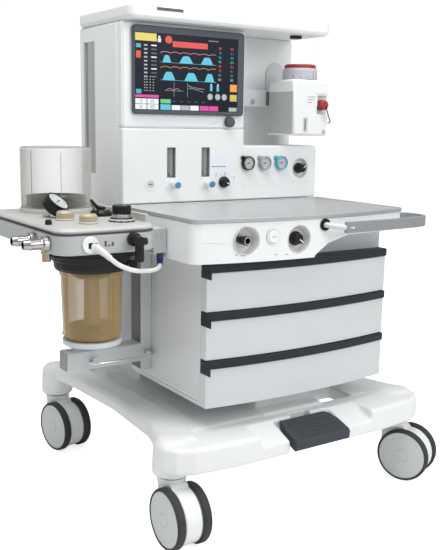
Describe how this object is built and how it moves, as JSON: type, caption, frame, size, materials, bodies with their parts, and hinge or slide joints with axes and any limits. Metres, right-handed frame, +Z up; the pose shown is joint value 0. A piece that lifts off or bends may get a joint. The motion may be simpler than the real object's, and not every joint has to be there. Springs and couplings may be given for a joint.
{
  "type": "anesthesia machine",
  "caption": "White wheeled anesthesia machine with drawers, worktop, display tower, vaporizer, circle breathing system and absorber canister.",
  "frame": {"origin": "on the floor, under the middle of the bounding box of the machine without its lead and tether", "axes": "+Z up, -Y towards the operator at the drawers, +X to the operator's right; the breathing system is on -X"},
  "size_m": [1.1575, 0.8972, 1.313],
  "materials": {
    "white_shell": "satin white moulded cover",
    "white_cast": "white powder coat over cast aluminium",
    "pale_shell": "light cool grey, satin",
    "slate_trim": "dark slate, satin",
    "black_plastic": "black, satin",
    "chrome": "polished",
    "steel_top": "light grey metal, satin",
    "rail": "anodised",
    "handle_grey": "mid grey, satin",
    "wheel_grey": "light grey disc with a dark grey tread",
    "blue_knob": "blue cap",
    "red_cap": "red, satin",
    "valve_tan": "translucent tan cap",
    "clear_dome": "clear, faintly smoky",
    "amber": "transparent amber",
    "bellows_black": "matt black",
    "cord_white": "white cable jacket"
  },
  "bodies": {
    "machine": {"absorber_bracket": "pale_shell", "airway_gauge": "black_plastic", "base_frame": "white_cast", "bellows": "bellows_black", "bellows_dome": "clear_dome", "breathing_block": "pale_shell", "cabinet_shell": "white_shell", "canopy": "white_shell", "cap_tether": "black_plastic", "console_housing": "white_shell", "cover_plate": "white_shell", "display_panel": "white_shell", "display_unit": "slate_trim", "drain_elbow": "black_plastic", "gas_outlet": "chrome", "gauge_panel": "white_shell", "oxygen_sensor": "white_shell", "patient_port_1": "chrome", "patient_port_2": "chrome", "pressure_gauge_1": "black_plastic", "pressure_gauge_2": "black_plastic", "pressure_gauge_3": "black_plastic", "push_handle": "handle_grey", "sensor_lead": "cord_white", "side_rail": "rail", "tower_housing": "white_shell", "valve_dome_1": "valve_tan", "valve_dome_2": "valve_tan", "vaporizer_body": "white_shell", "worktop_plate": "steel_top"},
    "caster_fl": {"caster_fl_hood": "white_cast"},
    "wheels_fl": {"caster_fl_wheels": "wheel_grey"},
    "caster_fr": {"caster_fr_hood": "white_cast"},
    "wheels_fr": {"caster_fr_wheels": "wheel_grey"},
    "caster_bl": {"caster_bl_hood": "white_cast"},
    "wheels_bl": {"caster_bl_wheels": "wheel_grey"},
    "caster_br": {"caster_br_hood": "white_cast"},
    "wheels_br": {"caster_br_wheels": "wheel_grey"},
    "pedal": {"brake_pedal": "slate_trim"},
    "drawer_1": {"drawer_1": "pale_shell", "drawer_1_grip": "slate_trim"},
    "drawer_2": {"drawer_2": "pale_shell", "drawer_2_grip": "slate_trim"},
    "drawer_3": {"drawer_3": "pale_shell", "drawer_3_grip": "slate_trim"},
    "flush": {"flush_button": "white_shell"},
    "console_selector": {"console_knob": "black_plastic"},
    "control_wheel": {"display_knob": "slate_trim"},
    "flow_1": {"flow_knob_1": "blue_knob"},
    "flow_2": {"flow_knob_2": "blue_knob"},
    "gas_selector": {"selector_knob": "black_plastic"},
    "suction": {"suction_knob": "black_plastic"},
    "vapor_dial": {"vaporizer_dial": "pale_shell"},
    "filler": {"filler_cap": "red_cap"},
    "apl": {"apl_knob": "black_plastic"},
    "bag_vent": {"bag_lever": "black_plastic"},
    "lock": {"lock_ring": "black_plastic"},
    "lift_bail": {"lift_handle": "chrome"},
    "absorber": {"canister": "amber", "canister_tray": "pale_shell"}
  },
  "joints": [
    {"name": "swivel_fl", "type": "hinge", "parent": "machine", "child": "caster_fl", "pos_m": [-0.2654, -0.3219, 0.075], "axis": [0, 0, 1], "continuous": true},
    {"name": "roll_fl", "type": "hinge", "parent": "caster_fl", "child": "wheels_fl", "pos_m": [-0.26584, -0.3659, 0.075], "axis": [0.9999, -0.01, 0], "continuous": true},
    {"name": "swivel_fr", "type": "hinge", "parent": "machine", "child": "caster_fr", "pos_m": [0.4886, -0.3219, 0.075], "axis": [0, 0, 1], "continuous": true},
    {"name": "roll_fr", "type": "hinge", "parent": "caster_fr", "child": "wheels_fr", "pos_m": [0.50654, -0.36208, 0.075], "axis": [0.9131, 0.4078, 0], "continuous": true},
    {"name": "swivel_bl", "type": "hinge", "parent": "machine", "child": "caster_bl", "pos_m": [-0.2654, 0.4001, 0.075], "axis": [0, 0, 1], "continuous": true},
    {"name": "roll_bl", "type": "hinge", "parent": "caster_bl", "child": "wheels_bl", "pos_m": [-0.25796, 0.35673, 0.075], "axis": [0.9856, 0.1692, 0], "continuous": true},
    {"name": "swivel_br", "type": "hinge", "parent": "machine", "child": "caster_br", "pos_m": [0.4886, 0.4001, 0.075], "axis": [0, 0, 1], "continuous": true},
    {"name": "roll_br", "type": "hinge", "parent": "caster_br", "child": "wheels_br", "pos_m": [0.49299, 0.35632, 0.075], "axis": [0.995, 0.0998, 0], "continuous": true},
    {"name": "pedal_press", "type": "hinge", "parent": "machine", "child": "pedal", "pos_m": [0.1226, -0.3294, 0.232], "axis": [1, 0, 0], "range_deg": [0, 10]},
    {"name": "drawer_1_slide", "type": "slide", "parent": "machine", "child": "drawer_1", "axis": [0, -1, 0], "range_m": [0, 0.28]},
    {"name": "drawer_2_slide", "type": "slide", "parent": "machine", "child": "drawer_2", "axis": [0, -1, 0], "range_m": [0, 0.28]},
    {"name": "drawer_3_slide", "type": "slide", "parent": "machine", "child": "drawer_3", "axis": [0, -1, 0], "range_m": [0, 0.28]},
    {"name": "flush_press", "type": "slide", "parent": "machine", "child": "flush", "axis": [0, 1, 0], "range_m": [0, 0.005], "stiffness_N_per_m": 600, "springref_m": -0.002},
    {"name": "console_selector_turn", "type": "hinge", "parent": "machine", "child": "console_selector", "pos_m": [0.0666, -0.35377, 0.73], "axis": [0, -1, 0], "range_deg": [0, 90]},
    {"name": "control_wheel_turn", "type": "hinge", "parent": "machine", "child": "control_wheel", "pos_m": [0.1261, 0.0387, 1.014], "axis": [0, -1, 0], "continuous": true},
    {"name": "flow_1_turn", "type": "hinge", "parent": "machine", "child": "flow_1", "pos_m": [-0.0564, 0.0387, 0.84], "axis": [0, -1, 0], "range_deg": [0, 1440]},
    {"name": "flow_2_turn", "type": "hinge", "parent": "machine", "child": "flow_2", "pos_m": [0.0566, 0.0387, 0.84], "axis": [0, -1, 0], "range_deg": [0, 1440]},
    {"name": "gas_selector_turn", "type": "hinge", "parent": "machine", "child": "gas_selector", "pos_m": [0.1116, 0.0387, 0.843], "axis": [0, -1, 0], "range_deg": [-45, 45]},
    {"name": "suction_turn", "type": "hinge", "parent": "machine", "child": "suction", "pos_m": [0.3946, 0.0508, 0.879], "axis": [0, -1, 0], "range_deg": [0, 300]},
    {"name": "vapor_dial_turn", "type": "hinge", "parent": "machine", "child": "vapor_dial", "pos_m": [0.3831, 0.0401, 1.1423], "axis": [0, 0, 1], "range_deg": [0, 300]},
    {"name": "filler_turn", "type": "hinge", "parent": "machine", "child": "filler", "pos_m": [0.4266, -0.0062, 1.069], "axis": [0, -1, 0], "range_deg": [0, 540]},
    {"name": "apl_turn", "type": "hinge", "parent": "machine", "child": "apl", "pos_m": [-0.3164, -0.1609, 0.7708], "axis": [0, 0, 1], "range_deg": [0, 300]},
    {"name": "bag_vent_turn", "type": "hinge", "parent": "machine", "child": "bag_vent", "pos_m": [-0.3104, -0.0309, 0.7708], "axis": [0, 0, -1], "range_deg": [0, 90]},
    {"name": "lock_turn", "type": "hinge", "parent": "machine", "child": "lock", "pos_m": [-0.3754, -0.1109, 0.709], "axis": [0, 0, -1], "range_deg": [0, 40]},
    {"name": "lift_turn", "type": "hinge", "parent": "machine", "child": "lift_bail", "pos_m": [-0.2694, -0.0534, 0.397], "axis": [1, 0, 0], "range_deg": [0, 85]},
    {"name": "absorber_drop", "type": "slide", "parent": "machine", "child": "absorber", "axis": [0, 0, -1], "range_m": [0, 0.0119]}
  ],
  "couplings": [
    {"joint": "lift_turn", "follows": "absorber_drop", "rad_per_m": 124.66}
  ]
}
